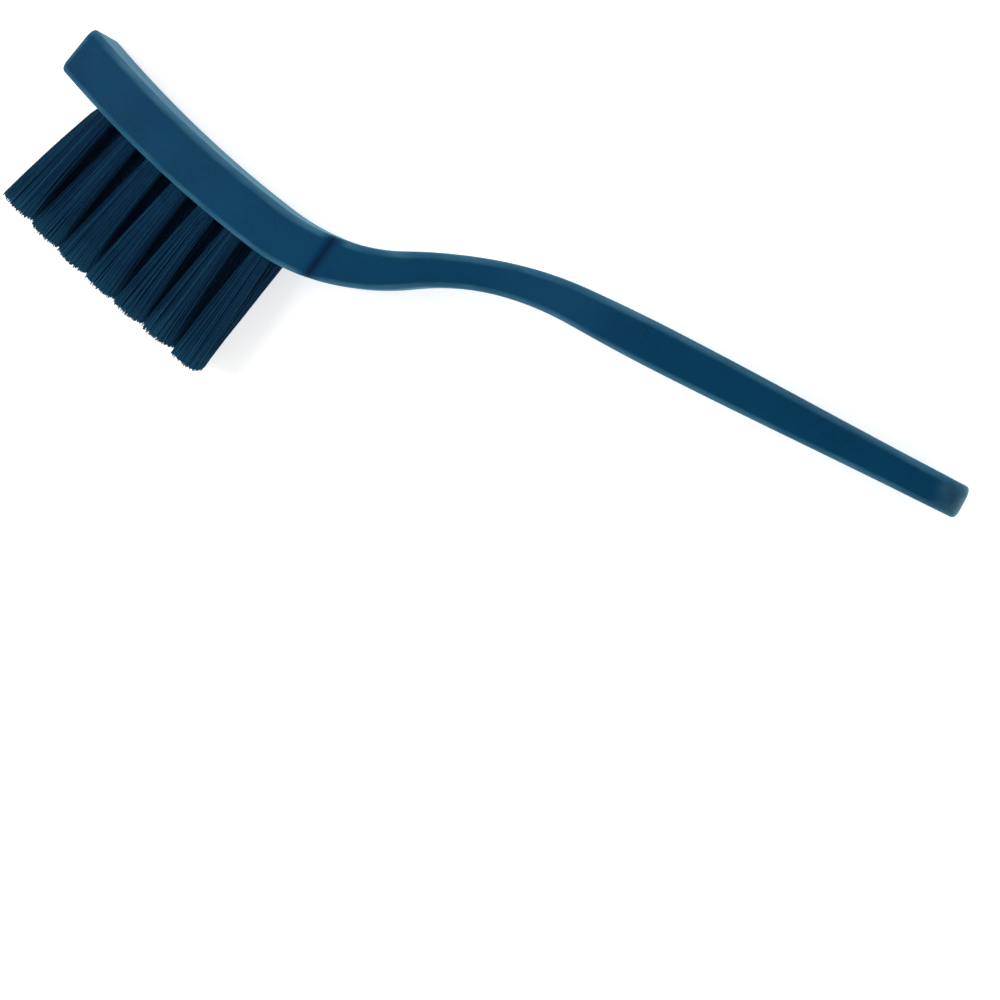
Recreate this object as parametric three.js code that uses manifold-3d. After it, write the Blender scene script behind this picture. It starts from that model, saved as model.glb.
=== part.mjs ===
// Anti-static brush: a one-piece cranked handle whose head carries three rows of staple-set bristle tufts.
// Millimetres. The brush lies on its flat side: +X runs from the head's tip to the end of the grip,
// +Y points away from the bristles, and +Z is across the brush's width.
import * as THREE from "three";
import { mergeVertices } from "three/addons/utils/BufferGeometryUtils.js";
import Module from "manifold-3d";

// Head: a thick bar, bowed so that its back is hollow and its bristle face is full
const HEAD_WIDTH = 13;
const HEAD_THICKNESS = 7.5;
const HEAD_LENGTH = 45.1;
const HEAD_BOW_RADIUS = 171;
const BEND_BEFORE_SHOULDER = 8;
const TIP_ROUND = 0.8;
const TIP_SLANT = 9; // the end face leans, so that the back reaches further than the bristle face
const TIP_SLANT_REACH = 6; // sections are square to the centre line from this far behind the tip

// Shoulder: the small step at each side where the head ends and the narrower neck begins
const SHOULDER_DEPTH = 0.9;
const SHOULDER_LENGTH = 1.2;

// Neck: bends up out of the head, thins to a waist and bends back into the line of the grip
const NECK_BEND_RADIUS = 30.2;
const NECK_BEND_ANGLE = 39.5;
const NECK_STRAIGHT = 0.8;
const WAIST_THICKNESS = 4.8;
const WAIST_WIDTH = 9.6;
const WAIST_AFTER_BEND = 9.2;

// Grip: straight, as wide as the head, and slimmer towards its rounded end
const GRIP_BEND_RADIUS = 49.8;
const GRIP_BEND_ANGLE = 29.3;
const GRIP_LENGTH = 62;
const GRIP_WIDTH = 13;
const GRIP_THICKNESS = 6.4;
const GRIP_FULL_AFTER_BEND = 12;
const GRIP_END_THICKNESS = 5;
const GRIP_END_ROUND = 1.2;

// Edges that run along the whole handle
const BACK_EDGE_RADIUS = 1.2;
const FACE_EDGE_RADIUS = 0.9;
const MOST_CORNER = 0.48; // the largest share of a section's smaller side that one rounded corner may take

// Tufts: bundles of filaments, fanned a little along the head, that splay from a round root to an oval tip
const TUFT_ROWS = ["a", "b", "c"];
const TUFT_PITCH = 4.88;
const FIRST_TUFT_FROM_TIP = 9.25;
const ROW_STAGGER = 1.2; // the middle row stands this far nearer to the neck
const LEAST_TUFT_TO_SHOULDER = 5; // tufts go on, a pitch apart, while this much of the head is left
const TUFT_FAN_ANGLE = 8.2;
const TUFT_RAKE = 1.3;
const BRISTLE_LENGTH_AT_TIP = 18.3;
const BRISTLE_LENGTH_AT_NECK = 18.6;
const TRIM_ROUND = 0.6;
const FOLD_HEIGHT = 0.9;
const TUFT_GAP = 0.3;

// Blind bores in the head's bristle face, and the flat-wire anchors that hold the folded tufts in them
const BORE_DIAMETER = 3.2;
const BORE_DEPTH = 4.6;
const BORE_SIDE_WALL = 0.9;
const ANCHOR_BITE = 0.25;
const ANCHOR_HEIGHT = 1.5;
const ANCHOR_THICKNESS = 0.35;
const SEAT_GAP = 0.2;

// Facets
const CORNER_STEPS = 3;
const ROUND_STEPS = 3;
const END_STEPS = 6;
const SHOULDER_STEPS = 3;
const BORE_SIDES = 16;
const BOW_STEP = 5;
const BEND_STEP = 2.2;
const GRIP_STEP = 7;

const PLASTIC = new THREE.MeshStandardMaterial({ color: 0x144261, roughness: 0.45, metalness: 0 });
const BRISTLE = new THREE.MeshStandardMaterial({ color: 0x0f2e49, roughness: 0.6, metalness: 0 });
const WIRE = new THREE.MeshStandardMaterial({ color: 0xb99a5b, roughness: 0.35, metalness: 1 });

const { clamp, degToRad, lerp, smoothstep } = THREE.MathUtils;
const ACROSS = new THREE.Vector3(0, 0, 1);

// The handle's centre line, from the tip to the end of the grip: tangent arcs and straights in one plane.
// A positive turn is anticlockwise. The first heading is chosen so that the grip ends up along +X.
const neckTurn = degToRad(NECK_BEND_ANGLE);
const gripTurn = degToRad(GRIP_BEND_ANGLE);
const bowLength = HEAD_LENGTH - BEND_BEFORE_SHOULDER;
const bowTurn = bowLength / HEAD_BOW_RADIUS;
const SPINE = [
  { length: bowLength, turn: bowTurn },
  { length: NECK_BEND_RADIUS * neckTurn, turn: neckTurn },
  { length: NECK_STRAIGHT, turn: 0 },
  { length: GRIP_BEND_RADIUS * gripTurn, turn: -gripTurn },
  { length: GRIP_LENGTH, turn: 0 },
];
const TIP_HEADING = gripTurn - neckTurn - bowTurn;
const neckBendEnd = SPINE[0].length + SPINE[1].length;
const gripStart = neckBendEnd + SPINE[2].length + SPINE[3].length;
const spineLength = gripStart + GRIP_LENGTH;

// The point at a distance along the centre line, and the directions there along it and towards the back
function spineAt(distance) {
  const point = new THREE.Vector3();
  let heading = TIP_HEADING;
  let left = distance;
  for (const { length, turn } of SPINE) {
    const run = Math.min(left, length);
    const swept = (turn * run) / length;
    const chord = swept === 0 ? run : (run * Math.sin(swept / 2)) / (swept / 2);
    point.x += chord * Math.cos(heading + swept / 2);
    point.y += chord * Math.sin(heading + swept / 2);
    heading += swept;
    left -= run;
    if (left <= 0) break;
  }
  const ahead = new THREE.Vector3(Math.cos(heading), Math.sin(heading), 0);
  const back = new THREE.Vector3(-ahead.y, ahead.x, 0);
  return { point, ahead, back };
}

// How far a rounded end of a given radius draws its section in, at a distance from that end
function roundInset(distance, radius) {
  const short = Math.max(radius - distance, 0);
  return radius - Math.sqrt(radius * radius - short * short);
}

const shoulderEnd = HEAD_LENGTH + SHOULDER_LENGTH;
const waist = neckBendEnd + WAIST_AFTER_BEND;
const gripFull = gripStart + GRIP_FULL_AFTER_BEND;
const neckWidth = HEAD_WIDTH - 2 * SHOULDER_DEPTH;
const gripEndRadius = GRIP_WIDTH / 2;

function thicknessAt(distance) {
  let thickness = lerp(HEAD_THICKNESS, WAIST_THICKNESS, smoothstep(distance, bowLength, waist));
  thickness = lerp(thickness, GRIP_THICKNESS, smoothstep(distance, waist, gripFull));
  thickness = lerp(thickness, GRIP_END_THICKNESS, smoothstep(distance, gripFull, spineLength));
  const ends = roundInset(distance, TIP_ROUND) + roundInset(spineLength - distance, GRIP_END_ROUND);
  return thickness - 2 * ends;
}

function widthAt(distance) {
  let width = lerp(HEAD_WIDTH, neckWidth, smoothstep(distance, HEAD_LENGTH, shoulderEnd));
  width = lerp(width, WAIST_WIDTH, smoothstep(distance, shoulderEnd, waist));
  width = lerp(width, GRIP_WIDTH, smoothstep(distance, waist, gripFull));
  const ends = roundInset(distance, TIP_ROUND) + roundInset(spineLength - distance, gripEndRadius);
  return width - 2 * ends;
}

// Distances from one mark to the next, in equal steps no longer than a given one, without the last mark
function steps(from, to, longest) {
  const count = Math.max(1, Math.ceil((to - from) / longest));
  return Array.from({ length: count }, (_, i) => lerp(from, to, i / count));
}

// Distances from an end over a rounding of a given radius, closer together near the end
function roundSteps(radius, count, first) {
  return Array.from({ length: count }, (_, i) => {
    const angle = lerp(first, Math.PI / 2, i / count);
    return radius * (1 - Math.cos(angle));
  });
}

function handleStations() {
  const bluntEnd = Math.PI / 2 / (END_STEPS + 1);
  const tip = roundSteps(TIP_ROUND, ROUND_STEPS, 0);
  const end = roundSteps(gripEndRadius, END_STEPS, bluntEnd).map((d) => spineLength - d);
  return [
    ...tip,
    ...steps(TIP_ROUND, bowLength, BOW_STEP),
    ...steps(bowLength, HEAD_LENGTH, BEND_STEP),
    ...steps(HEAD_LENGTH, shoulderEnd, SHOULDER_LENGTH / SHOULDER_STEPS),
    ...steps(shoulderEnd, gripStart, BEND_STEP),
    ...steps(gripStart, spineLength - gripEndRadius, GRIP_STEP),
    spineLength - gripEndRadius,
    ...end.reverse(),
  ];
}

// A rectangle with rounded corners, as points (towards the back, across), anticlockwise seen from the grip
function roundedSection(thickness, width) {
  const corners = [
    { x: 1, y: 1, radius: BACK_EDGE_RADIUS, start: 0 },
    { x: -1, y: 1, radius: FACE_EDGE_RADIUS, start: Math.PI / 2 },
    { x: -1, y: -1, radius: FACE_EDGE_RADIUS, start: Math.PI },
    { x: 1, y: -1, radius: BACK_EDGE_RADIUS, start: (3 * Math.PI) / 2 },
  ];
  const most = MOST_CORNER * Math.min(width, thickness);
  return corners.flatMap(({ x, y, radius, start }) => {
    const r = Math.min(radius, most);
    const centre = { x: x * (thickness / 2 - r), y: y * (width / 2 - r) };
    const arc = new THREE.EllipseCurve(centre.x, centre.y, r, r, start, start + Math.PI / 2);
    return arc.getPoints(CORNER_STEPS);
  });
}

// A closed skin over rings of points, all rings with as many points and turning the same way
function loft(rings) {
  const count = rings[0].length;
  const points = rings.flat();
  const index = [];
  for (let ring = 0; ring < rings.length - 1; ring++) {
    for (let i = 0; i < count; i++) {
      const a = ring * count + i;
      const b = ring * count + ((i + 1) % count);
      index.push(a, b, b + count, a, b + count, a + count);
    }
  }
  const last = (rings.length - 1) * count;
  for (let i = 1; i < count - 1; i++) {
    index.push(0, i + 1, i);
    index.push(last, last + i, last + i + 1);
  }
  return new THREE.BufferGeometry().setFromPoints(points).setIndex(index);
}

const wasm = await Module();
wasm.setup();

function toSolid(geometry) {
  const bare = geometry.clone();
  bare.deleteAttribute("normal");
  bare.deleteAttribute("uv");
  const merged = mergeVertices(bare);
  const vertProperties = new Float32Array(merged.attributes.position.array);
  const triVerts = new Uint32Array(merged.index.array);
  return new wasm.Manifold(new wasm.Mesh({ numProp: 3, vertProperties, triVerts }));
}

function toGeometry(solid) {
  const { vertProperties, triVerts } = solid.getMesh();
  const geometry = new THREE.BufferGeometry();
  geometry.setAttribute("position", new THREE.BufferAttribute(vertProperties, 3));
  geometry.setIndex(new THREE.BufferAttribute(triVerts, 1));
  geometry.computeVertexNormals();
  return geometry;
}

// The middle of the bristle face at a distance along the centre line
function faceAt(distance) {
  const { point, back } = spineAt(distance);
  return point.addScaledVector(back, -thicknessAt(distance) / 2);
}

// The tuft field: as many pitches as the head has room for, and rows that share its width evenly
const roomForTufts = HEAD_LENGTH - FIRST_TUFT_FROM_TIP - ROW_STAGGER - LEAST_TUFT_TO_SHOULDER;
const pitches = Math.floor(roomForTufts / TUFT_PITCH);
const fieldLength = pitches * TUFT_PITCH;
const fanStep = degToRad(TUFT_FAN_ANGLE) / pitches;
const rowPitch = (HEAD_WIDTH - 2 * BORE_SIDE_WALL - BORE_DIAMETER) / (TUFT_ROWS.length - 1);
const rows = TUFT_ROWS.map((name, i) => ({
  name,
  across: (i - (TUFT_ROWS.length - 1) / 2) * rowPitch,
  stagger: (i % 2) * ROW_STAGGER,
}));

// A tuft half-way along stands square to the chord of the field, apart from the rake
const fieldChord = faceAt(FIRST_TUFT_FROM_TIP + fieldLength).sub(faceAt(FIRST_TUFT_FROM_TIP));
const squareLean = Math.atan2(fieldChord.y, fieldChord.x) + degToRad(TUFT_RAKE);

// Where each tuft meets the bristle face, how far it is turned about +Z, and its free length
function tuftPlace({ name, across, stagger }, number) {
  const along = number * TUFT_PITCH + stagger;
  const share = along / fieldLength;
  return {
    name: `${name}${number + 1}`,
    root: faceAt(FIRST_TUFT_FROM_TIP + along).setZ(across),
    lean: squareLean + (share - 0.5) * degToRad(TUFT_FAN_ANGLE),
    free: lerp(BRISTLE_LENGTH_AT_TIP, BRISTLE_LENGTH_AT_NECK, share),
  };
}

const numbers = Array.from({ length: pitches + 1 }, (_, i) => i);
const tufts = rows.flatMap((row) => numbers.map((number) => tuftPlace(row, number)));

// In a tuft's own frame +Y runs into the bore and the bristles point along -Y from the bore's mouth
const boreRadius = BORE_DIAMETER / 2;
const rootRadius = boreRadius - SEAT_GAP;
const foldEnd = BORE_DEPTH - SEAT_GAP;
const anchorTop = foldEnd - FOLD_HEIGHT - SEAT_GAP;
const anchorMiddle = anchorTop - ANCHOR_HEIGHT / 2;
const anchorLength = BORE_DIAMETER + 2 * ANCHOR_BITE;

// The anchor, grown on every side by the gap that its seat leaves round it
function anchorBlock(gap) {
  const length = anchorLength + 2 * gap;
  const height = ANCHOR_HEIGHT + 2 * gap;
  const thickness = ANCHOR_THICKNESS + 2 * gap;
  return new THREE.BoxGeometry(length, height, thickness).translate(0, anchorMiddle, 0);
}

function boreBlock() {
  const clearOfFace = BORE_DIAMETER;
  const bore = new THREE.CylinderGeometry(boreRadius, boreRadius, BORE_DEPTH + clearOfFace, BORE_SIDES);
  return bore.translate(0, (BORE_DEPTH - clearOfFace) / 2, 0);
}

function tuftRing(y, along, across) {
  return Array.from({ length: BORE_SIDES }, (_, i) => {
    const angle = (2 * Math.PI * i) / BORE_SIDES;
    return new THREE.Vector3(along * Math.cos(angle), y, across * Math.sin(angle));
  });
}

// One tuft: the folded root, round in its bore and slotted for the anchor, then the splayed bristles
function tuftGeometry(free) {
  const tipPitch = TUFT_PITCH + free * fanStep;
  const tipAlong = (tipPitch - TUFT_GAP) / 2;
  const tipAcross = (rowPitch - TUFT_GAP) / 2;
  const trimStart = 1 - TRIM_ROUND / free;
  const rings = [];
  for (let i = 0; i < ROUND_STEPS; i++) {
    const angle = (Math.PI / 2) * ((i + 1) / ROUND_STEPS);
    const radius = rootRadius * Math.sin(angle);
    rings.push(tuftRing(foldEnd - FOLD_HEIGHT * (1 - Math.cos(angle)), radius, radius));
  }
  rings.push(tuftRing(0, rootRadius, rootRadius));
  const trimAlong = lerp(rootRadius, tipAlong, trimStart);
  const trimAcross = lerp(rootRadius, tipAcross, trimStart);
  rings.push(tuftRing(-free * trimStart, trimAlong, trimAcross));
  rings.push(tuftRing(-free, trimAlong - TRIM_ROUND, trimAcross - TRIM_ROUND));
  return toGeometry(toSolid(loft(rings)).subtract(toSolid(anchorBlock(SEAT_GAP))));
}

// How far a section leans ahead for each millimetre towards the back. The tip's end face slants, and the
// shoulder is square to the end of the head's bow, though the bend into the neck begins before it.
function leanAt(distance) {
  const tip = Math.max(1 - distance / TIP_SLANT_REACH, 0);
  const towardsShoulder = (distance - bowLength) / BEND_BEFORE_SHOULDER;
  const awayFromShoulder = (neckBendEnd - distance) / (neckBendEnd - shoulderEnd);
  const shoulder = clamp(Math.min(towardsShoulder, awayFromShoulder), 0, 1);
  const bentAtShoulder = BEND_BEFORE_SHOULDER / NECK_BEND_RADIUS;
  return shoulder * Math.tan(bentAtShoulder) - tip * Math.tan(degToRad(TIP_SLANT));
}

// One rounded section of the handle, square to the centre line but for its lean
function handleRing(distance) {
  const { point, ahead, back } = spineAt(distance);
  const leaning = back.addScaledVector(ahead, leanAt(distance));
  const section = roundedSection(thicknessAt(distance), widthAt(distance));
  return section.map(({ x, y }) => point.clone().addScaledVector(leaning, x).addScaledVector(ACROSS, y));
}

// The handle: a loft of its sections along the centre line, with a bore and an anchor seat for each tuft
function handleGeometry() {
  let solid = toSolid(loft(handleStations().map(handleRing)));
  for (const { root, lean } of tufts) {
    const place = new THREE.Matrix4().makeRotationZ(lean).setPosition(root);
    solid = solid.subtract(toSolid(boreBlock().applyMatrix4(place)));
    solid = solid.subtract(toSolid(anchorBlock(SEAT_GAP).applyMatrix4(place)));
  }
  return toGeometry(solid);
}

function namedMesh(name, geometry, material) {
  const mesh = new THREE.Mesh(geometry, material);
  mesh.name = name;
  return mesh;
}

const brush = new THREE.Group();
brush.add(namedMesh("handle", handleGeometry(), PLASTIC));
const anchor = anchorBlock(0);
for (const { name, root, lean, free } of tufts) {
  const seat = new THREE.Group();
  seat.position.copy(root);
  seat.rotation.z = lean;
  seat.add(namedMesh(`tuft_${name}`, tuftGeometry(free), BRISTLE));
  seat.add(namedMesh(`anchor_${name}`, anchor, WIRE));
  brush.add(seat);
}

// The origin is under the middle of the whole brush, on the surface that its flat side lies on
const box = new THREE.Box3().setFromObject(brush, true);
const middle = box.getCenter(new THREE.Vector3());
brush.position.set(-middle.x, -middle.y, -box.min.z);

export default brush;
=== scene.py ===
# Looks of a small anti-static hand brush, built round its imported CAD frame.
# The brush lies on its flat side: +X runs from the head's tip to the end of the grip, +Y points away
# from the bristles, and +Z is across the brush's width. Lengths are in millimetres and angles in
# degrees unless a name or comment says otherwise, and a mesh is turned into metres when it is made.
import math

import bpy
import numpy as np
from mathutils import Matrix, Vector


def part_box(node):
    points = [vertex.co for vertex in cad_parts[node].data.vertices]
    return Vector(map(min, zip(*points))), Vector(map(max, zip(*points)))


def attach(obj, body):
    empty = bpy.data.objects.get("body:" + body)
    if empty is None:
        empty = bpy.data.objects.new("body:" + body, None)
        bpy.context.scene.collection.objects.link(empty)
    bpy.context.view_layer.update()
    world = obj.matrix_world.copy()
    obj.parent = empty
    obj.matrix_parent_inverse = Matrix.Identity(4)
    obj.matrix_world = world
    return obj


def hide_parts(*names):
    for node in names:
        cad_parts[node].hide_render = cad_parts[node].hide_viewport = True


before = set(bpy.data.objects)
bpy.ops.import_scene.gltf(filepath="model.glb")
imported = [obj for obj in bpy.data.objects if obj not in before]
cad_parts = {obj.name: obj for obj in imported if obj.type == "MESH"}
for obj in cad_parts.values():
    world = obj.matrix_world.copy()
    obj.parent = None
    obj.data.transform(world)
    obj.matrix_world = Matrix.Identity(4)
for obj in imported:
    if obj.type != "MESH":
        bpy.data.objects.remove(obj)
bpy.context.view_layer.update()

METRES = 0.001
BODY = "root"

# Handle, with the sizes of the CAD handle that it stands for
HEAD_WIDTH = 13
HEAD_THICKNESS = 7.5
HEAD_LENGTH = 45.1
HEAD_BOW_RADIUS = 171
BEND_BEFORE_SHOULDER = 8
TIP_ROUND = 0.8
TIP_SLANT = 9
TIP_SLANT_REACH = 6
SHOULDER_DEPTH = 0.9
SHOULDER_LENGTH = 1.2
NECK_BEND_RADIUS = 30.2
NECK_BEND_ANGLE = 39.5
NECK_STRAIGHT = 0.8
WAIST_THICKNESS = 4.8
WAIST_WIDTH = 9.6
WAIST_AFTER_BEND = 9.2
GRIP_BEND_RADIUS = 49.8
GRIP_BEND_ANGLE = 29.3
GRIP_LENGTH = 62
GRIP_WIDTH = 13
GRIP_THICKNESS = 6.4
GRIP_FULL_AFTER_BEND = 12
GRIP_END_THICKNESS = 5
GRIP_END_ROUND = 1.2
GRIP_END_BLUNT = 90 / 7
BACK_EDGE_RADIUS = 1.2
FACE_EDGE_RADIUS = 0.9
MOST_CORNER = 0.48

# Tufts and their bores, as in the CAD model
TUFT_ROWS = "abc"
TUFT_COLUMNS = 7
TUFT_PITCH = 4.88
FIRST_TUFT_FROM_TIP = 9.25
ROW_STAGGER = 1.2
TUFT_FAN_ANGLE = 8.2
TUFT_RAKE = 1.3
BRISTLE_LENGTH_AT_TIP = 18.3
BRISTLE_LENGTH_AT_NECK = 18.6
BORE_DIAMETER = 3.2
BORE_DEPTH = 4.6
BORE_SIDE_WALL = 0.9
ANCHOR_LENGTH = 3.7
ANCHOR_HEIGHT = 1.5
ANCHOR_THICKNESS = 0.35
ANCHOR_MIDDLE = 2.55
SEAT_GAP = 0.2

# Fineness of the smooth handle
CORNER_STEPS = 7
TIP_STEPS = 8
END_STEPS = 16
SHOULDER_STEP = 0.1
BEND_STEP = 0.7
GRIP_STEP = 2
BORE_SIDES = 48
EDGE_HOLD = 0.25
HOLD_SHARE = 0.2
SMOOTH_ANGLE = 35

# Filaments: their size and fineness, their way round the anchor, and how their tips splay and scatter
SEED = 20
FILAMENT_DIAMETER = 0.15
FILAMENT_SPACING = 0.157
FILAMENT_SIDES = 4
FILAMENT_SMOOTH_ANGLE = 80
FREE_STEPS = 6
STEP_POWER = 1.5
BORE_STEPS = 2
FOLD_STEPS = 4
FOLD_CLEARANCE = 0.12
BUNDLE_CLEARANCE = 0.02
TIP_HALF_ACROSS = 1.85
TIP_MOST_ACROSS = 2.3
ACROSS_FLARE = 0.65
PAST_TRIM = 0.3
LAST_LONGER = 0.45
TIP_JITTER = 0.1
LENGTH_JITTER = 0.2
SHORTEST = 0.6
LONGEST = 0.4
CROWN = 0.3
BOW_JITTER = 0.08
STRAY_SHARE = 0.02
STRAY_JITTER = 0.45

# Splay of a tuft along the head, on one side of its middle: how far out its trimmed end reaches, and
# the power of the share of its length by which it gets there, which is above 1 where it opens out late
TIP_SIDE = (2.75, 1.0)
NECK_SIDE = {"a": (2.55, 2.0), "b": (2.9, 0.3), "c": (2.55, 2.0)}
FIRST_OUTER_SIDE = (3.2, 0.65)
LAST_OUTER_SIDE = {"a": (0.6, 1.0), "b": (0.1, 1.0), "c": (2.1, 0.7)}

# Map of a tuft, as shares of the square cell that each filament has on it: its unrolled side, and
# a small round for each of its ends
MAP_SIDE_X = (0.05, 0.95)
MAP_SIDE_Y = (0.15, 0.85)
MAP_END_X = 0.5
MAP_END_Y = (0.07, 0.93)
MAP_END_RADIUS = 0.05

# Materials. Colours are linear, with alpha. A noise is its number per millimetre, its detail and its
# stretch, and a range is where something starts and where it is complete.
MOST_OF_NOISE = (0.3, 0.7)
PLASTIC_MOTTLE = (0.09, 3)
PLASTIC_MOTTLE_COLOURS = ((0.0003, 0.029, 0.074, 1), (0.0008, 0.042, 0.099, 1))
PLASTIC_GRAIN = (4.5, 3)
PLASTIC_GRAIN_RANGE = (0.35, 0.7)
PLASTIC_GRAIN_SHARE = 0.4
PLASTIC_GRAIN_COLOUR = (0.002, 0.054, 0.121, 1)
PLASTIC_SCUFFS = (1.6, 5, (0.12, 1, 1))
PLASTIC_SCUFF_SHARE = 0.35
PLASTIC_BUMP_DEPTH = 0.025
PLASTIC_BUMP_STRENGTH = 0.4
PLASTIC_ROUGHNESS = (0.50, 0.40)
PLASTIC_SPECULAR = 0.042
SHEEN_WEIGHT = 0.39
SHEEN_ROUGHNESS = 0.35
SHEEN_TINT = (0.17, 0.80, 1.0, 1)
# Rounded edges: smoother and paler, the paleness partly wear and partly a painted highlight where the
# edges catch the light
WEAR_RUBBING = (0.35, 4, (0.35, 1.4, 1.4))
WEAR_AND_HIGHLIGHT_PATCHES = (0.35, 0.65)
WEAR_AND_HIGHLIGHT_BREADTH = 3
WEAR_AND_HIGHLIGHT_LEAST = 0.35
WEAR_AND_HIGHLIGHT_SHARE = 0.80
WEAR_AND_HIGHLIGHT_COLOUR = (0.028, 0.102, 0.158, 1)
WEAR_POLISH = 0.06
WEAR_AND_HIGHLIGHT_FROM_SHOULDER = (1, 2)
# Painted shade in the step at the shoulder: a dark colour laid on the step's slope and the flats beside
# it, standing in for the shade that falls there
PAINTED_SHADE_DOWN_STEP = 0.8
PAINTED_SHADE_FROM_SHOULDER = (0.1, 1.0)
PAINTED_SHADE_SHARE = 0.92
PAINTED_SHADE_ON_FLAT = 0.75
PAINTED_SHADE_COLOUR = (0.001, 0.008, 0.034, 1)
BRISTLE_SHADES = [
    (0.0, (0.005, 0.025, 0.062, 1)),
    (0.55, (0.006, 0.039, 0.094, 1)),
    (0.85, (0.007, 0.052, 0.108, 1)),
    (1.0, (0.010, 0.066, 0.104, 1)),
]
BRISTLE_STREAKS = (1.2, 2)
BRISTLE_STREAK_SHARE = 0.5
BRISTLE_STREAK_COLOUR = (0.005, 0.027, 0.068, 1)
# Paler towards the tips: partly the cut ends' own colour, partly painted light where the tips stand
# clear of the tuft's shade
BRISTLE_TIP_RANGE = (0.8, 1)
BRISTLE_TIP_PALE_AND_LIT_SHARE = 0.6
BRISTLE_TIP_PALE_AND_LIT_COLOUR = (0.012, 0.074, 0.135, 1)
BRISTLE_GRAIN = (9, 2)
BRISTLE_BUMP_DEPTH = 0.01
BRISTLE_BUMP_STRENGTH = 0.3
BRISTLE_ROUGHNESS = (0.56, 0.70)
BRISTLE_SPECULAR = 0.05
WIRE_LINES = (6, 2, (0.1, 1, 1))
WIRE_COLOURS = ((0.45, 0.31, 0.11, 1), (0.62, 0.46, 0.19, 1))
WIRE_ROUGHNESS = (0.28, 0.42)

# Sockets of a mix node that mixes colours: share, first colour, second colour, and what comes out
MIX_INPUTS = (0, 6, 7)
MIX_OUTPUT = 2

# Camera, with directions as seen in the picture: right, up and towards the camera
GRIP_SLOPE = 27.04
CAMERA_LENS = 72
CAMERA_SENSOR = 36
CAMERA_CLIP_METRES = (0.01, 100)
CAMERA_DISTANCE = 286.5
CAMERA_LEAN_RIGHT = 0.059
CAMERA_LEAN_UP = 0.088
AIM_FROM_TIP_ALONG = 83.05
AIM_FROM_TIP_ACROSS = -29.93

# Soft lamps: place in metres from the middle of the brush as the picture shows it, size in metres,
# and watts
LAMPS = {
    "front": ((-0.13, 0.07, 0.22), 0.12, 0.28),
    "lower left": ((-0.25, -0.42, 0.08), 0.18, 2.1),
    "top": ((0.25, 0.42, 0.10), 0.18, 1.6),
}
# How bright the studio's walls are at these heights, as the sine of the angle above the horizon
WALL_LIGHT = [(0.30, 1.0), (0.45, 0.40), (0.85, 0.45)]
# Floor: its paper's colour, how much it glows near the brush, and in metres its size, how far it lies
# under the brush, and where it starts and ends to turn white
FLOOR_COLOUR = 0.85
FLOOR_LIFT = 0.5
FLOOR_SIZE = 40
FLOOR_DROP = 0.00002
FLOOR_NEAR = 0.12
FLOOR_FAR = 0.45


def lerp(a, b, share):
    return a + (b - a) * share


def smoothstep(x, low, high):
    t = min(max((x - low) / (high - low), 0), 1)
    return t * t * (3 - 2 * t)


# Centre line of the handle

NECK_TURN = math.radians(NECK_BEND_ANGLE)
GRIP_TURN = math.radians(GRIP_BEND_ANGLE)
BOW_LENGTH = HEAD_LENGTH - BEND_BEFORE_SHOULDER
BOW_TURN = BOW_LENGTH / HEAD_BOW_RADIUS
NECK_BEND_END = BOW_LENGTH + NECK_BEND_RADIUS * NECK_TURN
GRIP_START = NECK_BEND_END + NECK_STRAIGHT + GRIP_BEND_RADIUS * GRIP_TURN
SPINE_LENGTH = GRIP_START + GRIP_LENGTH
TIP_HEADING = GRIP_TURN - NECK_TURN - BOW_TURN
SPINE = [
    (BOW_LENGTH, BOW_TURN),
    (NECK_BEND_RADIUS * NECK_TURN, NECK_TURN),
    (NECK_STRAIGHT, 0),
    (GRIP_BEND_RADIUS * GRIP_TURN, -GRIP_TURN),
    (GRIP_LENGTH, 0),
]
SHOULDER_END = HEAD_LENGTH + SHOULDER_LENGTH
WAIST = NECK_BEND_END + WAIST_AFTER_BEND
GRIP_FULL = GRIP_START + GRIP_FULL_AFTER_BEND
NECK_WIDTH = HEAD_WIDTH - 2 * SHOULDER_DEPTH
GRIP_END_RADIUS = GRIP_WIDTH / 2


def spine_at(distance):
    """The point at a distance along the centre line, with the directions along it and to the back."""
    x, y, heading, left = 0, 0, TIP_HEADING, distance
    for length, turn in SPINE:
        run = min(left, length)
        swept = turn * run / length
        chord = run * math.sin(swept / 2) / (swept / 2) if swept else run
        x += chord * math.cos(heading + swept / 2)
        y += chord * math.sin(heading + swept / 2)
        heading += swept
        left -= run
        if left <= 0:
            break
    ahead = np.array([math.cos(heading), math.sin(heading), 0])
    back = np.array([-ahead[1], ahead[0], 0])
    return np.array([x, y, 0]), ahead, back


def round_inset(distance, radius):
    """How far a rounded end draws its section in, at a distance from that end."""
    short = max(radius - distance, 0)
    return radius - math.sqrt(radius * radius - short * short)


def thickness_at(distance):
    thickness = lerp(HEAD_THICKNESS, WAIST_THICKNESS, smoothstep(distance, BOW_LENGTH, WAIST))
    thickness = lerp(thickness, GRIP_THICKNESS, smoothstep(distance, WAIST, GRIP_FULL))
    thickness = lerp(thickness, GRIP_END_THICKNESS, smoothstep(distance, GRIP_FULL, SPINE_LENGTH))
    ends = round_inset(distance, TIP_ROUND) + round_inset(SPINE_LENGTH - distance, GRIP_END_ROUND)
    return thickness - 2 * ends


def width_at(distance):
    width = lerp(HEAD_WIDTH, NECK_WIDTH, smoothstep(distance, HEAD_LENGTH, SHOULDER_END))
    width = lerp(width, WAIST_WIDTH, smoothstep(distance, SHOULDER_END, WAIST))
    width = lerp(width, GRIP_WIDTH, smoothstep(distance, WAIST, GRIP_FULL))
    ends = round_inset(distance, TIP_ROUND) + round_inset(SPINE_LENGTH - distance, GRIP_END_RADIUS)
    return width - 2 * ends


# Meshes


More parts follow.
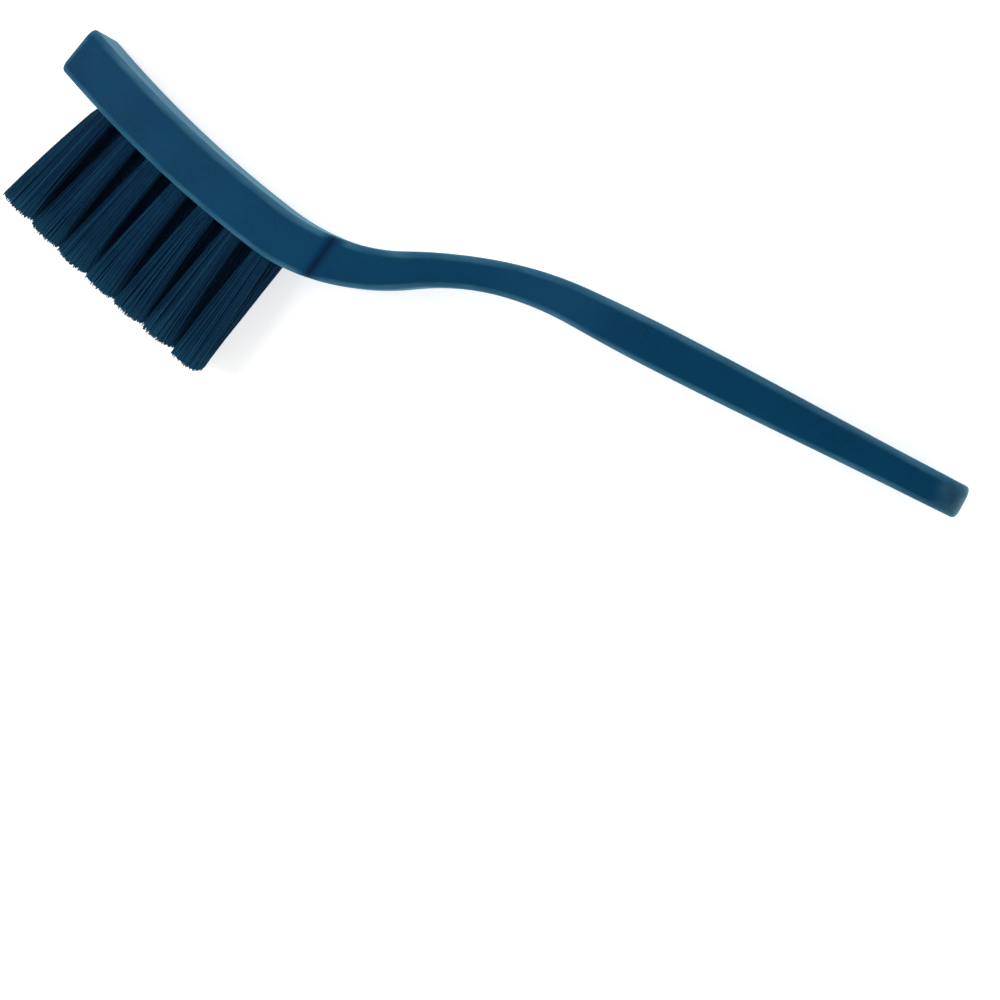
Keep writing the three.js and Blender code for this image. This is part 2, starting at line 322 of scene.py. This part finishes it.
def loft(rings):
    """A closed skin over rings of points that turn anticlockwise about the way they follow."""
    count = len(rings[0])
    faces = []
    for ring in range(len(rings) - 1):
        for i in range(count):
            a = ring * count + i
            b = ring * count + (i + 1) % count
            faces.append((a, b, b + count, a + count))
    last = (len(rings) - 1) * count
    faces.append(tuple(reversed(range(count))))
    faces.append(tuple(range(last, last + count)))
    return np.concatenate(rings), faces


def joined(parts):
    """Several meshes, each as points and faces, as one."""
    points, faces, start = [], [], 0
    for part_points, part_faces in parts:
        points.append(part_points)
        faces += [tuple(start + i for i in face) for face in part_faces]
        start += len(part_points)
    return np.concatenate(points), faces


def add_object(name, data):
    thing = bpy.data.objects.new(name, data)
    bpy.context.scene.collection.objects.link(thing)
    return thing


def mesh_object(name, points, faces):
    mesh = bpy.data.meshes.new(name)
    mesh.from_pydata((points * METRES).tolist(), [], faces)
    return add_object(name, mesh)


# Handle


def rounded_section(thickness, width):
    """Points (towards the back, across) round a section, with a point beside each rounding that keeps
    the flat next to it flat."""
    corners = [
        (1, 1, BACK_EDGE_RADIUS, 0),
        (-1, 1, FACE_EDGE_RADIUS, 90),
        (-1, -1, FACE_EDGE_RADIUS, 180),
        (1, -1, BACK_EDGE_RADIUS, 270),
    ]
    smaller = min(thickness, width)
    points = []
    for back, across, radius, start in corners:
        r = min(radius, MOST_CORNER * smaller)
        hold = min(EDGE_HOLD, HOLD_SHARE * (smaller - 2 * r))
        centre = np.array([back * (thickness / 2 - r), across * (width / 2 - r)])
        for i in range(-1, CORNER_STEPS + 2):
            on_arc = min(max(i, 0), CORNER_STEPS)
            angle = math.radians(start + 90 * on_arc / CORNER_STEPS)
            outward = np.array([math.cos(angle), math.sin(angle)])
            onward = np.array([-outward[1], outward[0]])
            points.append(centre + r * outward + (i - on_arc) * hold * onward)
    return points


def steps(start, end, longest):
    count = max(1, math.ceil((end - start) / longest))
    return [lerp(start, end, i / count) for i in range(count)]


def round_steps(radius, count, first):
    """Distances from an end over its rounding, closer together near the end."""
    return [radius * (1 - math.cos(math.radians(lerp(first, 90, i / count)))) for i in range(count)]


def handle_stations():
    end = [SPINE_LENGTH - d for d in round_steps(GRIP_END_RADIUS, END_STEPS, GRIP_END_BLUNT)]
    return [
        *round_steps(TIP_ROUND, TIP_STEPS, 0),
        *steps(TIP_ROUND, HEAD_LENGTH, BEND_STEP),
        *steps(HEAD_LENGTH, SHOULDER_END, SHOULDER_STEP),
        *steps(SHOULDER_END, GRIP_START, BEND_STEP),
        *steps(GRIP_START, SPINE_LENGTH - GRIP_END_RADIUS, GRIP_STEP),
        SPINE_LENGTH - GRIP_END_RADIUS,
        *reversed(end),
    ]


def lean_at(distance):
    """How far a section leans ahead for each millimetre towards the back. The tip's end face slants,
    and the shoulder is square to the end of the head's bow."""
    tip = max(1 - distance / TIP_SLANT_REACH, 0)
    towards_shoulder = (distance - BOW_LENGTH) / BEND_BEFORE_SHOULDER
    away_from_shoulder = (NECK_BEND_END - distance) / (NECK_BEND_END - SHOULDER_END)
    shoulder = min(max(min(towards_shoulder, away_from_shoulder), 0), 1)
    bent_at_shoulder = BEND_BEFORE_SHOULDER / NECK_BEND_RADIUS
    return shoulder * math.tan(bent_at_shoulder) - tip * math.tan(math.radians(TIP_SLANT))


def handle_ring(distance, inset=0):
    point, ahead, back = spine_at(distance)
    leaning = back + lean_at(distance) * ahead
    section = rounded_section(thickness_at(distance) - 2 * inset, width_at(distance) - 2 * inset)
    return np.array([point + x * leaning + np.array([0, 0, y]) for x, y in section])


def handle_skin():
    stations = handle_stations()
    first = handle_ring(stations[0], EDGE_HOLD)
    last = handle_ring(stations[-1], EDGE_HOLD)
    points, faces = loft([first, *(handle_ring(s) for s in stations), last])
    low, high = (np.array(corner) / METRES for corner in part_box("handle"))
    shift = (low + high - points.min(0) - points.max(0)) / 2
    return points + shift, faces, shift


handle_points, handle_faces, SHIFT = handle_skin()
# The foot of the shoulder's step: where the painted shade is darkest, and where the paler edges stop
SHOULDER_FOOT = spine_at(lerp(HEAD_LENGTH, SHOULDER_END, PAINTED_SHADE_DOWN_STEP))[0] + SHIFT
SHOULDER_FACING = spine_at(BOW_LENGTH)[1]


# Tuft places


def face_at(distance):
    point, _, back = spine_at(distance)
    return point - back * thickness_at(distance) / 2 + SHIFT


def tuft_places():
    """The place of each tuft: its name, its share of the way along the tuft field, and the matrix that
    puts it there. In a tuft's own frame X is along the head, +Y into the bore and Z across."""
    field = (TUFT_COLUMNS - 1) * TUFT_PITCH
    chord = face_at(FIRST_TUFT_FROM_TIP + field) - face_at(FIRST_TUFT_FROM_TIP)
    square = math.atan2(chord[1], chord[0]) + math.radians(TUFT_RAKE)
    row_pitch = (HEAD_WIDTH - 2 * BORE_SIDE_WALL - BORE_DIAMETER) / (len(TUFT_ROWS) - 1)
    places = []
    for row, letter in enumerate(TUFT_ROWS):
        across = np.array([0, 0, (row - (len(TUFT_ROWS) - 1) / 2) * row_pitch])
        for column in range(TUFT_COLUMNS):
            along = column * TUFT_PITCH + ROW_STAGGER * (row % 2)
            share = along / field
            root = face_at(FIRST_TUFT_FROM_TIP + along) + across
            lean = square + math.radians(TUFT_FAN_ANGLE) * (share - 0.5)
            place = Matrix.Translation(root) @ Matrix.Rotation(lean, 4, "Z")
            places.append((f"{letter}{column + 1}", share, np.array(place)))
    return places


def placed(points, place):
    return points @ place[:3, :3].T + place[:3, 3]


TUFTS = tuft_places()


# Handle with its bores


def ring_at(y, along, across, count, first=0):
    angles = first + 2 * np.pi * np.arange(count) / count
    return np.column_stack([along * np.cos(angles), np.full(count, y), across * np.sin(angles)])


def bore_block():
    radius = BORE_DIAMETER / 2
    return loft([ring_at(y, radius, radius, BORE_SIDES) for y in (BORE_DEPTH, -BORE_DIAMETER)])


def seat_block():
    """The room for an anchor, whose ends bite into the bore's wall."""
    corner = math.sqrt(2) / 2
    along = (ANCHOR_LENGTH + 2 * SEAT_GAP) * corner
    across = (ANCHOR_THICKNESS + 2 * SEAT_GAP) * corner
    half = ANCHOR_HEIGHT / 2 + SEAT_GAP
    levels = (ANCHOR_MIDDLE + half, ANCHOR_MIDDLE - half)
    return loft([ring_at(y, along, across, 4, np.pi / 4) for y in levels])


def cut(thing, block):
    """Cuts a block out of a piece at each tuft's place."""
    points, faces = block
    cutter = mesh_object("cutter", *joined([(placed(points, place), faces) for _, _, place in TUFTS]))
    boolean = thing.modifiers.new("cut", "BOOLEAN")
    boolean.object = cutter
    boolean.operation = "DIFFERENCE"
    boolean.solver = "EXACT"
    evaluated = thing.evaluated_get(bpy.context.evaluated_depsgraph_get())
    mesh = bpy.data.meshes.new_from_object(evaluated)
    thing.modifiers.clear()
    thing.data = mesh
    bpy.data.objects.remove(cutter)


def make_handle(material):
    handle = mesh_object("brush_handle", handle_points, handle_faces)
    cut(handle, bore_block())
    cut(handle, seat_block())
    handle.data.shade_smooth()
    handle.data.set_sharp_from_angle(angle=math.radians(SMOOTH_ANGLE))
    handle.data.materials.clear()
    handle.data.materials.append(material)
    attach(handle, BODY)
    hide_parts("handle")


# Tufts of filaments


def leg_grid():
    """Where the filaments of one leg of a folded tuft stand in the bore: packed in half a disc."""
    reach = BORE_DIAMETER / 2 - BUNDLE_CLEARANCE - FILAMENT_DIAMETER / 2
    nearest = ANCHOR_THICKNESS / 2 + (FILAMENT_DIAMETER + BUNDLE_CLEARANCE) / 2
    rise = FILAMENT_SPACING * math.sqrt(3) / 2
    points = []
    for row in range(math.ceil((reach - nearest) / rise)):
        z = nearest + row * rise
        half = math.sqrt(reach * reach - z * z)
        offset = FILAMENT_SPACING / 2 * (row % 2)
        count = math.floor((half + offset) / FILAMENT_SPACING)
        for i in range(-count, count + 1):
            x = i * FILAMENT_SPACING + offset
            if abs(x) <= half:
                points.append((x, z))
    return np.array(points), reach, nearest


LEG, LEG_REACH, LEG_NEAREST = leg_grid()


def by_side(splay, which):
    """One of a splay's two values for each filament of a leg, by the side of the tuft's middle that it
    stands on."""
    towards_tip, towards_neck = splay
    return np.where(LEG[:, 0] < 0, towards_tip[which], towards_neck[which])


def leg_tips(rng, side, free, splay):
    """Where the filaments of one leg end, splayed to an oval, crowned and raggedly trimmed."""
    along = LEG[:, 0] / LEG_REACH
    across = (LEG[:, 1] - LEG_NEAREST / 2) / (LEG_REACH - LEG_NEAREST / 2)
    stray = rng.random(len(LEG)) < STRAY_SHARE
    spread = np.where(stray, STRAY_JITTER, TIP_JITTER)
    out = np.minimum(along**2 + across**2, 1)
    ragged = np.clip(rng.normal(0, LENGTH_JITTER, len(LEG)), -SHORTEST, LONGEST)
    to_side = TIP_HALF_ACROSS * across + rng.normal(0, 1, len(LEG)) * spread
    return np.column_stack([
        by_side(splay, 0) * along + rng.normal(0, 1, len(LEG)) * spread,
        -(free + PAST_TRIM - CROWN * out + ragged),
        side * np.clip(to_side, -TIP_MOST_ACROSS, TIP_MOST_ACROSS),
    ])


def free_paths(rng, side, free, splay):
    """The free length of each filament of a leg, from the bore's mouth to the tip, slightly bowed."""
    mouth = np.column_stack([LEG[:, 0], np.zeros(len(LEG)), side * LEG[:, 1]])
    tips = leg_tips(rng, side, free, splay)
    bow = rng.normal(0, BOW_JITTER, (len(LEG), 3)) * np.array([1, 0, 1])
    shares = np.linspace(0, 1, FREE_STEPS + 1)[None, :, None] ** STEP_POWER
    along = shares ** by_side(splay, 1)[:, None, None]
    out, across = (np.broadcast_to(way, along.shape) for way in (shares, shares**ACROSS_FLARE))
    grown = np.concatenate([along, out, across], axis=2)
    return mouth[:, None] + (tips - mouth)[:, None] * grown + bow[:, None] * np.sin(np.pi * shares)


def fold_paths():
    """Each filament's way up one side of the anchor, over it and down the other side."""
    top = ANCHOR_MIDDLE + ANCHOR_HEIGHT / 2
    room = BORE_DEPTH - top - BUNDLE_CLEARANCE - FILAMENT_DIAMETER / 2
    share = (LEG[:, 1] - LEG_NEAREST) / (LEG_REACH - LEG_NEAREST)
    height = lerp(FILAMENT_DIAMETER / 2 + FOLD_CLEARANCE, room, share)
    rise = [(top * i / BORE_STEPS, 1.0) for i in range(1, BORE_STEPS)]
    turns = [math.pi * i / FOLD_STEPS for i in range(FOLD_STEPS + 1)]
    ways = [(np.full(len(LEG), y), z) for y, z in rise]
    ways += [(top + height * math.sin(turn), math.cos(turn)) for turn in turns]
    ways += [(np.full(len(LEG), y), -z) for y, z in reversed(rise)]
    return np.stack([np.column_stack([LEG[:, 0], y, LEG[:, 1] * z]) for y, z in ways], axis=1)


def hairpin_paths(rng, free, splay):
    """Each filament from tip to tip: down one leg, round the anchor and out along the other leg."""
    down = free_paths(rng, 1, free, splay)[:, ::-1]
    out = free_paths(rng, -1, free, splay)
    return np.concatenate([down, fold_paths(), out], axis=1)


def filament_rings(paths):
    """Rings of points round each path, shaped (filament, step, side, 3)."""
    tangent = np.gradient(paths, axis=1)
    tangent /= np.linalg.norm(tangent, axis=2, keepdims=True)
    along = np.array([1.0, 0, 0])
    side = along - tangent * tangent[:, :, :1]
    side /= np.linalg.norm(side, axis=2, keepdims=True)
    other = np.cross(tangent, side)
    angles = 2 * np.pi * np.arange(FILAMENT_SIDES) / FILAMENT_SIDES
    ways = np.cos(angles)[:, None] * side[:, :, None] + np.sin(angles)[:, None] * other[:, :, None]
    return paths[:, :, None] + FILAMENT_DIAMETER / 2 * ways


def filament_faces(count, length):
    """Faces of closed tubes, and where their corners lie on the map, which has a cell per tube."""
    faces, corners = [], []
    cells = math.ceil(math.sqrt(count))
    sides = FILAMENT_SIDES
    for tube in range(count):
        start = tube * length * sides
        cell = np.array([tube % cells, tube // cells])
        for step in range(length - 1):
            for i in range(sides):
                a = start + step * sides + i
                b = start + step * sides + (i + 1) % sides
                faces.append((a, b, b + sides, a + sides))
                for s, e in ((i, step), (i + 1, step), (i + 1, step + 1), (i, step + 1)):
                    x = lerp(*MAP_SIDE_X, s / sides)
                    y = lerp(*MAP_SIDE_Y, e / (length - 1))
                    corners.append((cell + (x, y)) / cells)
        last = start + (length - 1) * sides
        rings = (range(start + sides - 1, start - 1, -1), range(last, last + sides))
        for ring, level in zip(rings, MAP_END_Y):
            faces.append(tuple(ring))
            for i in range(sides):
                turn = 2 * math.pi * i / sides
                x = MAP_END_X + MAP_END_RADIUS * math.cos(turn)
                y = level + MAP_END_RADIUS * math.sin(turn)
                corners.append((cell + (x, y)) / cells)
    return faces, np.array(corners)


def set_values(mesh, name, values):
    attribute = mesh.attributes.new(name, "FLOAT", "POINT")
    attribute.data.foreach_set("value", values.astype(np.float32).ravel())


def column_of(name):
    return int(name[1:])


def splay_of(name):
    """A tuft's splay towards the head's tip and towards its neck. A row's first and last tufts have
    nothing beside them on their outer sides."""
    row, column = name[0], column_of(name)
    towards_tip = FIRST_OUTER_SIDE if column == 1 else TIP_SIDE
    towards_neck = (LAST_OUTER_SIDE if column == TUFT_COLUMNS else NECK_SIDE)[row]
    return towards_tip, towards_neck


def make_tuft(name, share, place, number, material):
    rng = np.random.default_rng([SEED, number])
    free = lerp(BRISTLE_LENGTH_AT_TIP, BRISTLE_LENGTH_AT_NECK, share)
    if column_of(name) == TUFT_COLUMNS:
        free += LAST_LONGER
    paths = hairpin_paths(rng, free, splay_of(name))
    count, length, _ = paths.shape
    points = placed(filament_rings(paths).reshape(-1, 3), place)
    faces, corners = filament_faces(count, length)
    tuft = mesh_object(f"bristles_{name}", points, faces)
    mesh = tuft.data
    mesh.uv_layers.new(name="OFBake").data.foreach_set("uv", corners.astype(np.float32).ravel())
    per_filament = length * FILAMENT_SIDES
    set_values(mesh, "filament_shade", np.repeat(rng.random(count), per_filament))
    reach = np.repeat(-paths[0, :, 1] / free, FILAMENT_SIDES)
    set_values(mesh, "filament_reach", np.tile(reach, count))
    mesh.shade_smooth()
    mesh.set_sharp_from_angle(angle=math.radians(FILAMENT_SMOOTH_ANGLE))
    mesh.materials.append(material)
    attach(tuft, BODY)
    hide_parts(f"tuft_{name}")


# Materials


def grey(level):
    return (level, level, level, 1)


class Nodes:
    """A node tree, and short ways to add nodes to it."""

    def __init__(self, tree):
        self.tree = tree

    def node(self, kind, inputs=None, **settings):
        made = self.tree.nodes.new(kind)
        for key, value in settings.items():
            setattr(made, key, value)
        for key, value in (inputs or {}).items():
            self.feed(made.inputs[key], value)
        return made

    def feed(self, socket, value):
        if isinstance(value, bpy.types.NodeSocket):
            self.tree.links.new(value, socket)
        else:
            socket.default_value = value

    def ramp(self, share, *stops):
        """A colour for each share, from stops of (share, colour)."""
        made = self.node("ShaderNodeValToRGB", {"Fac": share})
        for _ in stops[2:]:
            made.color_ramp.elements.new(0.5)
        for element, (position, colour) in zip(made.color_ramp.elements, stops):
            element.position = position
            element.color = colour
        return made.outputs["Color"]

    def spread(self, share, low, high, new_low, new_high):
        """A share with the range from low to high brought to a new range."""
        old = {"From Min": low, "From Max": high}
        new = {"To Min": new_low, "To Max": new_high}
        return self.node("ShaderNodeMapRange", {"Value": share, **old, **new}).outputs["Result"]

    def mix(self, share, first, second):
        made = self.node("ShaderNodeMix", data_type="RGBA")
        for socket, value in zip(MIX_INPUTS, (share, first, second)):
            self.feed(made.inputs[socket], value)
        return made.outputs[MIX_OUTPUT]

    def maths(self, operation, first, second):
        return self.node("ShaderNodeMath", {0: first, 1: second}, operation=operation).outputs[0]

    def times(self, first, second):
        return self.maths("MULTIPLY", first, second)

    def less(self, first, second):
        return self.maths("SUBTRACT", first, second)


class Shader(Nodes):
    """A material with a Principled shader, and short ways to give it detail."""

    def __init__(self, name):
        self.material = bpy.data.materials.new(name)
        self.material.use_nodes = True
        super().__init__(self.material.node_tree)
        self.surface = self.tree.nodes["Principled BSDF"]

    def give(self, socket, value):
        self.feed(self.surface.inputs[socket], value)

    def millimetres(self, scale=(1, 1, 1)):
        """The place on the object, in millimetres, stretched by a scale."""
        place = self.node("ShaderNodeTexCoord").outputs["Object"]
        factor = [s / METRES for s in scale]
        return self.node("ShaderNodeMapping", {"Vector": place, "Scale": factor}).outputs["Vector"]

    def noise(self, per_millimetre, detail, stretch=(1, 1, 1)):
        inputs = {"Vector": self.millimetres(stretch), "Scale": per_millimetre, "Detail": detail}
        return self.node("ShaderNodeTexNoise", inputs).outputs["Fac"]

    def value(self, name):
        return self.node("ShaderNodeAttribute", attribute_name=name).outputs["Fac"]

    def flatness(self):
        """1 on the two flat sides, and less the more a place turns towards the back or the face."""
        normal = self.node("ShaderNodeTexCoord").outputs["Normal"]
        z = self.node("ShaderNodeSeparateXYZ", {"Vector": normal}).outputs["Z"]
        return self.times(z, z)

    def edge(self, flat):
        """How much of an edge a place is: 1 half-way round from a flat side to the back or the face."""
        return self.times(self.times(flat, self.less(1, flat)), 4)

    def from_plane(self, point, facing):
        """The distance in millimetres from a plane through a point."""
        inputs = {0: self.millimetres(), 1: tuple(point)}
        offset = self.node("ShaderNodeVectorMath", inputs, operation="SUBTRACT").outputs[0]
        inputs = {0: offset, 1: tuple(facing)}
        height = self.node("ShaderNodeVectorMath", inputs, operation="DOT_PRODUCT").outputs["Value"]
        return self.maths("ABSOLUTE", height, 0)

    def bump(self, height, millimetres, strength):
        inputs = {"Height": height, "Distance": millimetres * METRES, "Strength": strength}
        return self.node("ShaderNodeBump", inputs).outputs["Normal"]


def plastic_material():
    """Satin moulded navy plastic with a bluish sheen: faint flow mottling, a fine moulded grain, edges
    worn smoother and paler (the paleness partly wear, partly a painted highlight), and painted shade
    at the foot of the shoulder's step."""
    shader = Shader("handle plastic")
    colour = shader.ramp(shader.noise(*PLASTIC_MOTTLE), *zip(MOST_OF_NOISE, PLASTIC_MOTTLE_COLOURS))
    grain = shader.noise(*PLASTIC_GRAIN)
    grained = shader.spread(grain, *PLASTIC_GRAIN_RANGE, 0, PLASTIC_GRAIN_SHARE)
    colour = shader.mix(grained, colour, PLASTIC_GRAIN_COLOUR)
    rubbed = shader.noise(*WEAR_RUBBING)
    flat = shader.flatness()
    edge = shader.edge(flat)
    from_shoulder = shader.from_plane(SHOULDER_FOOT, SHOULDER_FACING)
    away = shader.spread(from_shoulder, *WEAR_AND_HIGHLIGHT_FROM_SHOULDER, 0, 1)
    rim = shader.maths("MINIMUM", shader.times(edge, WEAR_AND_HIGHLIGHT_BREADTH), 1)
    patchy = shader.spread(rubbed, *WEAR_AND_HIGHLIGHT_PATCHES, WEAR_AND_HIGHLIGHT_LEAST, 1)
    worn_and_highlit = shader.times(shader.times(rim, away), patchy)
    # Paler edges: partly wear, partly a painted highlight along the rounded edges
    colour = shader.mix(shader.times(worn_and_highlit, WEAR_AND_HIGHLIGHT_SHARE), colour, WEAR_AND_HIGHLIGHT_COLOUR)
    # Painted shade: the step at the shoulder and the flats next to it darken towards the shade colour
    held = shader.maths("MAXIMUM", edge, shader.times(flat, PAINTED_SHADE_ON_FLAT))
    painted_shade = shader.times(held, shader.spread(from_shoulder, *PAINTED_SHADE_FROM_SHOULDER, PAINTED_SHADE_SHARE, 0))
    shader.give("Base Color", shader.mix(painted_shade, colour, PAINTED_SHADE_COLOUR))
    satin = shader.spread(rubbed, *MOST_OF_NOISE, *PLASTIC_ROUGHNESS)
    shader.give("Roughness", shader.less(satin, shader.times(worn_and_highlit, WEAR_POLISH)))
    relief = shader.mix(PLASTIC_SCUFF_SHARE, grain, shader.noise(*PLASTIC_SCUFFS))
    shader.give("Normal", shader.bump(relief, PLASTIC_BUMP_DEPTH, PLASTIC_BUMP_STRENGTH))
    shader.give("Specular IOR Level", PLASTIC_SPECULAR)
    shader.give("Sheen Weight", SHEEN_WEIGHT)
    shader.give("Sheen Roughness", SHEEN_ROUGHNESS)
    shader.give("Sheen Tint", SHEEN_TINT)
    return shader.material


def bristle_material():
    """Blue-black conductive filaments, no two quite the same shade, and paler towards the trimmed tips,
    partly the cut ends' own colour and partly painted light.
    """
    shader = Shader("bristle filament")
    shade = shader.ramp(shader.value("filament_shade"), *BRISTLE_SHADES)
    streak = shader.noise(*BRISTLE_STREAKS)
    streaked = shader.spread(streak, *MOST_OF_NOISE, 0, BRISTLE_STREAK_SHARE)
    colour = shader.mix(streaked, shade, BRISTLE_STREAK_COLOUR)
    # Paler towards the tips: partly the cut ends' own colour, partly painted light
    tip = shader.spread(shader.value("filament_reach"), *BRISTLE_TIP_RANGE, 0, BRISTLE_TIP_PALE_AND_LIT_SHARE)
    shader.give("Base Color", shader.mix(tip, colour, BRISTLE_TIP_PALE_AND_LIT_COLOUR))
    grain = shader.noise(*BRISTLE_GRAIN)
    shader.give("Normal", shader.bump(grain, BRISTLE_BUMP_DEPTH, BRISTLE_BUMP_STRENGTH))
    shader.give("Roughness", shader.spread(streak, *MOST_OF_NOISE, *BRISTLE_ROUGHNESS))
    shader.give("Specular IOR Level", BRISTLE_SPECULAR)
    return shader.material


def wire_material():
    """Drawn flat brass wire with fine lines along it."""
    shader = Shader("anchor wire")
    lines = shader.noise(*WIRE_LINES)
    shader.give("Base Color", shader.ramp(lines, *zip(MOST_OF_NOISE, WIRE_COLOURS)))
    shader.give("Roughness", shader.spread(lines, *MOST_OF_NOISE, *WIRE_ROUGHNESS))
    shader.give("Metallic", 1)
    return shader.material


# Stage

SLOPE = math.radians(GRIP_SLOPE)
RIGHT = Vector((math.cos(SLOPE), math.sin(SLOPE), 0))
UP = Vector((-math.sin(SLOPE), math.cos(SLOPE), 0))
TOWARDS = Vector((0, 0, 1))


def in_picture(right, up, towards):
    return right * RIGHT + up * UP + towards * TOWARDS


def make_camera():
    data = bpy.data.cameras.new("camera")
    data.lens = CAMERA_LENS
    data.sensor_width = CAMERA_SENSOR
    data.clip_start, data.clip_end = CAMERA_CLIP_METRES
    camera = add_object("camera", data)
    aim = Vector(SHIFT) + Vector((AIM_FROM_TIP_ALONG, AIM_FROM_TIP_ACROSS, HEAD_WIDTH / 2))
    away = in_picture(CAMERA_LEAN_RIGHT, CAMERA_LEAN_UP, 1).normalized()
    across = UP.cross(away).normalized()
    axes = Matrix((across, away.cross(across), away)).transposed()
    camera.matrix_world = Matrix.Translation((aim + CAMERA_DISTANCE * away) * METRES) @ axes.to_4x4()
    bpy.context.scene.camera = camera


def make_lamp(name, place, size, watts):
    """A square soft lamp that faces the middle of the brush."""
    data = bpy.data.lights.new(name, "AREA")
    data.size = size
    data.energy = watts
    lamp = add_object(name, data)
    lamp.location = in_picture(*place)
    lamp.rotation_euler = lamp.location.to_track_quat("Z", "Y").to_euler()


def floor_material():
    """Pale paper that keeps the brush's shadow, and that looks plain white further away."""
    material = bpy.data.materials.new("floor")
    material.use_nodes = True
    nodes = Nodes(material.node_tree)
    nodes.tree.nodes.clear()
    path = nodes.node("ShaderNodeLightPath")
    seen = nodes.maths("MAXIMUM", path.outputs["Is Camera Ray"], path.outputs["Is Glossy Ray"])
    place = nodes.node("ShaderNodeTexCoord").outputs["Object"]
    away = nodes.node("ShaderNodeVectorMath", {0: place}, operation="LENGTH").outputs["Value"]
    lift = nodes.times(seen, nodes.spread(away, FLOOR_NEAR, FLOOR_FAR, FLOOR_LIFT, 1))
    paper = nodes.node("ShaderNodeBsdfDiffuse", {"Color": grey(FLOOR_COLOUR)}).outputs[0]
    glow = nodes.node("ShaderNodeEmission", {"Strength": lift}).outputs[0]
    both = nodes.node("ShaderNodeAddShader", {0: paper, 1: glow}).outputs[0]
    nodes.node("ShaderNodeOutputMaterial", {"Surface": both})
    return material


def make_floor():
    half = FLOOR_SIZE / 2
    mesh = bpy.data.meshes.new("floor")
    corners = [(-half, -half, 0), (half, -half, 0), (half, half, 0), (-half, half, 0)]
    mesh.from_pydata(corners, [], [(0, 1, 2, 3)])
    mesh.materials.append(floor_material())
    floor = add_object("floor", mesh)
    floor.location.z = -FLOOR_DROP


def make_world():
    """White walls all round under a grey ceiling."""
    world = bpy.data.worlds.new("studio")
    world.use_nodes = True
    nodes = Nodes(world.node_tree)
    place = nodes.node("ShaderNodeTexCoord").outputs["Generated"]
    height = nodes.node("ShaderNodeSeparateXYZ", {0: place}).outputs["Z"]
    light = nodes.ramp(height, *((level, grey(value)) for level, value in WALL_LIGHT))
    nodes.feed(nodes.tree.nodes["Background"].inputs["Color"], light)
    bpy.context.scene.world = world


def main():
    make_handle(plastic_material())
    bristle = bristle_material()
    for number, (name, share, place) in enumerate(TUFTS):
        make_tuft(name, share, place, number, bristle)
    wire = wire_material()
    for name, _, _ in TUFTS:
        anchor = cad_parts[f"anchor_{name}"]
        anchor.data.materials.clear()
        anchor.data.materials.append(wire)
    make_camera()
    make_floor()
    make_world()
    for name, (place, size, watts) in LAMPS.items():
        make_lamp(name, place, size, watts)
    bpy.context.scene.view_settings.view_transform = "Standard"


main()
